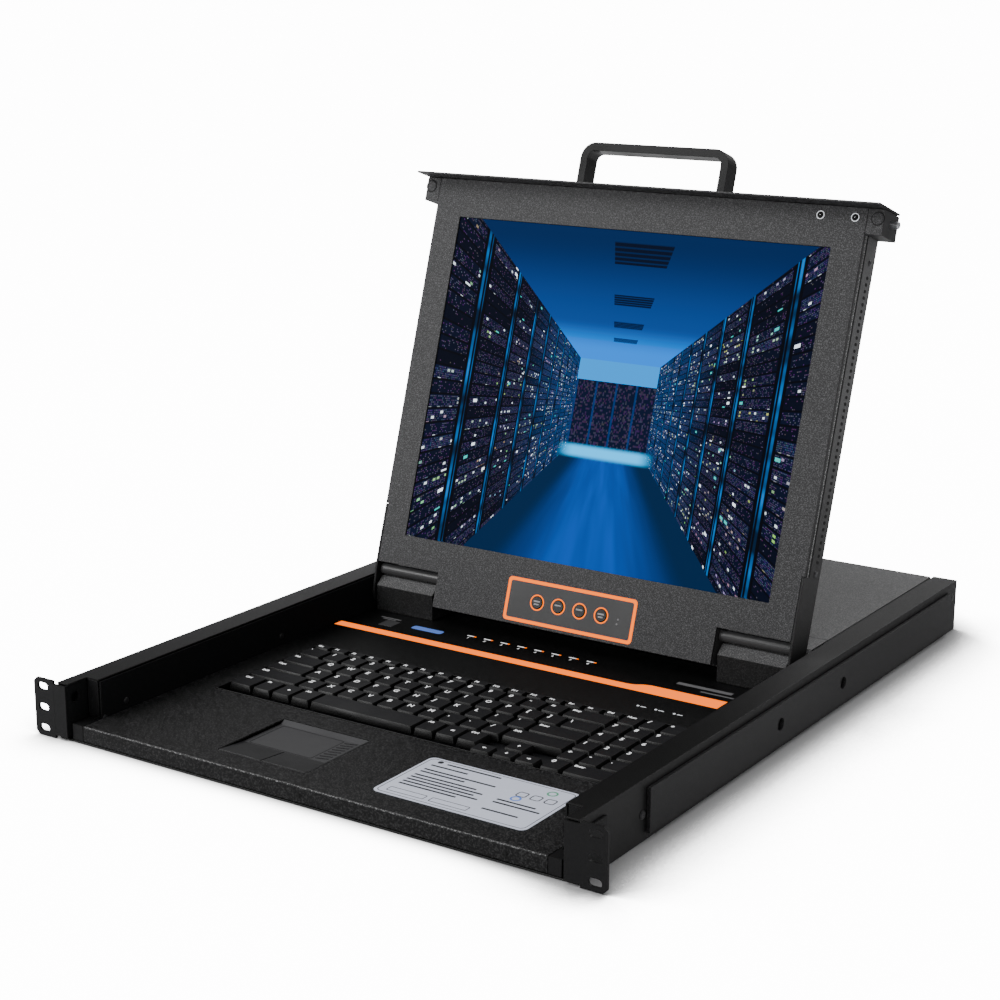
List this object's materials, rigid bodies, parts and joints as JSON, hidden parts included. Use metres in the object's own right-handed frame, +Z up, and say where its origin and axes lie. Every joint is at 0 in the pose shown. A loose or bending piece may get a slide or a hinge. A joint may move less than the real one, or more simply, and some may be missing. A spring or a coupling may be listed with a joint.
{
  "type": "rack console drawer",
  "caption": "Black 1U rack drawer with a fold-up screen on a hinged frame, a keyboard and touchpad tray on telescopic slides, rack ears and rear computer ports.",
  "frame": {"origin": "mid-width, mid-depth, on the underside of the chassis", "axes": "+X to the right seen from the front, +Y from the rack ears to the rear connectors, +Z up; at rest the drawer is in and the screen is up"},
  "size_m": [0.4826, 0.611, 0.4031],
  "materials": {
    "powder_coat": "fine-speckled matt powder coat",
    "zinc_steel": "bright zinc plate",
    "connector_black": "moulded matt black",
    "connector_metal": "nickel plate",
    "circuit_board": "solder mask",
    "key_plastic": "fine-textured matt black",
    "pad_plastic": "satin dark grey",
    "label_film": "satin silver film",
    "handle_satin": "satin black",
    "display": "lit display"
  },
  "bodies": {
    "chassis": {"chassis_shell": "powder_coat", "rack_ear_left": "powder_coat", "rack_ear_right": "powder_coat", "mount_plate_left": "powder_coat", "mount_plate_right": "powder_coat", "slide_outer_left": "zinc_steel", "slide_outer_right": "zinc_steel", "top_cover": "powder_coat", "rear_panel": "powder_coat", "computer_ports": "connector_black", "console_video_port": "connector_metal", "console_usb_ports": "connector_metal", "power_inlet": "connector_black", "switch_board": "circuit_board", "power_supply": "zinc_steel"},
    "slide_member_left": {"slide_middle_left": "zinc_steel"},
    "slide_member_right": {"slide_middle_right": "zinc_steel"},
    "drawer": {"tray_pan": "powder_coat", "keyboard_deck": "powder_coat", "hinge_cover": "powder_coat", "slide_inner_left": "powder_coat", "slide_inner_right": "powder_coat", "hinge_block_left": "powder_coat", "hinge_block_right": "powder_coat", "touchpad": "pad_plastic", "keyboard_base": "key_plastic", "rating_label": "label_film", "control_board": "circuit_board"},
    "monitor": {"screen_bezel": "powder_coat", "rear_cover": "powder_coat", "side_plate_left": "powder_coat", "side_plate_right": "powder_coat", "hinge_pin_left": "zinc_steel", "hinge_pin_right": "zinc_steel", "latch_housing_left": "powder_coat", "latch_housing_right": "powder_coat", "hinge_tube_left": "powder_coat", "hinge_tube_right": "powder_coat", "lcd_panel": "display", "front_panel": "powder_coat", "handle": "handle_satin", "osd_board": "circuit_board"},
    "latch_left": {"latch_pin_left": "zinc_steel"},
    "latch_right": {"latch_pin_right": "zinc_steel"},
    "osd_button_body_1": {"osd_button_1": "pad_plastic"},
    "osd_button_body_2": {"osd_button_2": "pad_plastic"},
    "osd_button_body_3": {"osd_button_3": "pad_plastic"},
    "osd_button_body_4": {"osd_button_4": "pad_plastic"},
    "pad_left": {"pad_button_left": "pad_plastic"},
    "pad_right": {"pad_button_right": "pad_plastic"},
    "power_switch": {"power_button": "pad_plastic"},
    "function_row": {"function_keys": "key_plastic"},
    "number_row": {"number_keys": "key_plastic"},
    "upper_letter_row": {"upper_letter_keys": "key_plastic"},
    "home_letter_row": {"home_letter_keys": "key_plastic"},
    "lower_letter_row": {"lower_letter_keys": "key_plastic"},
    "modifier_row": {"modifier_keys": "key_plastic"},
    "space_key": {"space_bar": "key_plastic"},
    "arrow_cluster": {"arrow_keys": "key_plastic"},
    "numpad": {"numpad_keys": "key_plastic"}
  },
  "joints": [
    {"name": "drawer_slide", "type": "slide", "parent": "chassis", "child": "drawer", "axis": [0, -1, 0], "range_m": [0, 0.4]},
    {"name": "slide_left_travel", "type": "slide", "parent": "chassis", "child": "slide_member_left", "axis": [0, -1, 0], "range_m": [0, 0.2]},
    {"name": "slide_right_travel", "type": "slide", "parent": "chassis", "child": "slide_member_right", "axis": [0, -1, 0], "range_m": [0, 0.2]},
    {"name": "monitor_fold", "type": "hinge", "parent": "drawer", "child": "monitor", "pos_m": [0, 0.0471, 0.02907], "axis": [1, 0, 0], "range_deg": [0, 107.4]},
    {"name": "latch_left_pull", "type": "slide", "parent": "monitor", "child": "latch_left", "axis": [1, 0, 0], "range_m": [0, 0.005]},
    {"name": "latch_right_pull", "type": "slide", "parent": "monitor", "child": "latch_right", "axis": [-1, 0, 0], "range_m": [0, 0.005]},
    {"name": "osd_press_1", "type": "slide", "parent": "monitor", "child": "osd_button_body_1", "axis": [0, 0.9542, -0.299], "range_m": [0, 0.0006]},
    {"name": "osd_press_2", "type": "slide", "parent": "monitor", "child": "osd_button_body_2", "axis": [0, 0.9542, -0.299], "range_m": [0, 0.0006]},
    {"name": "osd_press_3", "type": "slide", "parent": "monitor", "child": "osd_button_body_3", "axis": [0, 0.9542, -0.299], "range_m": [0, 0.0006]},
    {"name": "osd_press_4", "type": "slide", "parent": "monitor", "child": "osd_button_body_4", "axis": [0, 0.9542, -0.299], "range_m": [0, 0.0006]},
    {"name": "pad_left_press", "type": "slide", "parent": "drawer", "child": "pad_left", "axis": [0, 0, -1], "range_m": [0, 0.0006]},
    {"name": "pad_right_press", "type": "slide", "parent": "drawer", "child": "pad_right", "axis": [0, 0, -1], "range_m": [0, 0.0006]},
    {"name": "power_press", "type": "slide", "parent": "drawer", "child": "power_switch", "axis": [0, 0, -1], "range_m": [0, 0.0015]},
    {"name": "function_row_press", "type": "slide", "parent": "drawer", "child": "function_row", "axis": [0, 0, -1], "range_m": [0, 0.0016]},
    {"name": "number_row_press", "type": "slide", "parent": "drawer", "child": "number_row", "axis": [0, 0, -1], "range_m": [0, 0.0016]},
    {"name": "upper_letter_row_press", "type": "slide", "parent": "drawer", "child": "upper_letter_row", "axis": [0, 0, -1], "range_m": [0, 0.0016]},
    {"name": "home_letter_row_press", "type": "slide", "parent": "drawer", "child": "home_letter_row", "axis": [0, 0, -1], "range_m": [0, 0.0016]},
    {"name": "lower_letter_row_press", "type": "slide", "parent": "drawer", "child": "lower_letter_row", "axis": [0, 0, -1], "range_m": [0, 0.0016]},
    {"name": "modifier_row_press", "type": "slide", "parent": "drawer", "child": "modifier_row", "axis": [0, 0, -1], "range_m": [0, 0.0016]},
    {"name": "space_key_press", "type": "slide", "parent": "drawer", "child": "space_key", "axis": [0, 0, -1], "range_m": [0, 0.0016]},
    {"name": "arrow_cluster_press", "type": "slide", "parent": "drawer", "child": "arrow_cluster", "axis": [0, 0, -1], "range_m": [0, 0.0016]},
    {"name": "numpad_press", "type": "slide", "parent": "drawer", "child": "numpad", "axis": [0, 0, -1], "range_m": [0, 0.0016]}
  ],
  "couplings": [
    {"joint": "slide_left_travel", "follows": "drawer_slide", "ratio": 0.5},
    {"joint": "slide_right_travel", "follows": "drawer_slide", "ratio": 0.5}
  ]
}
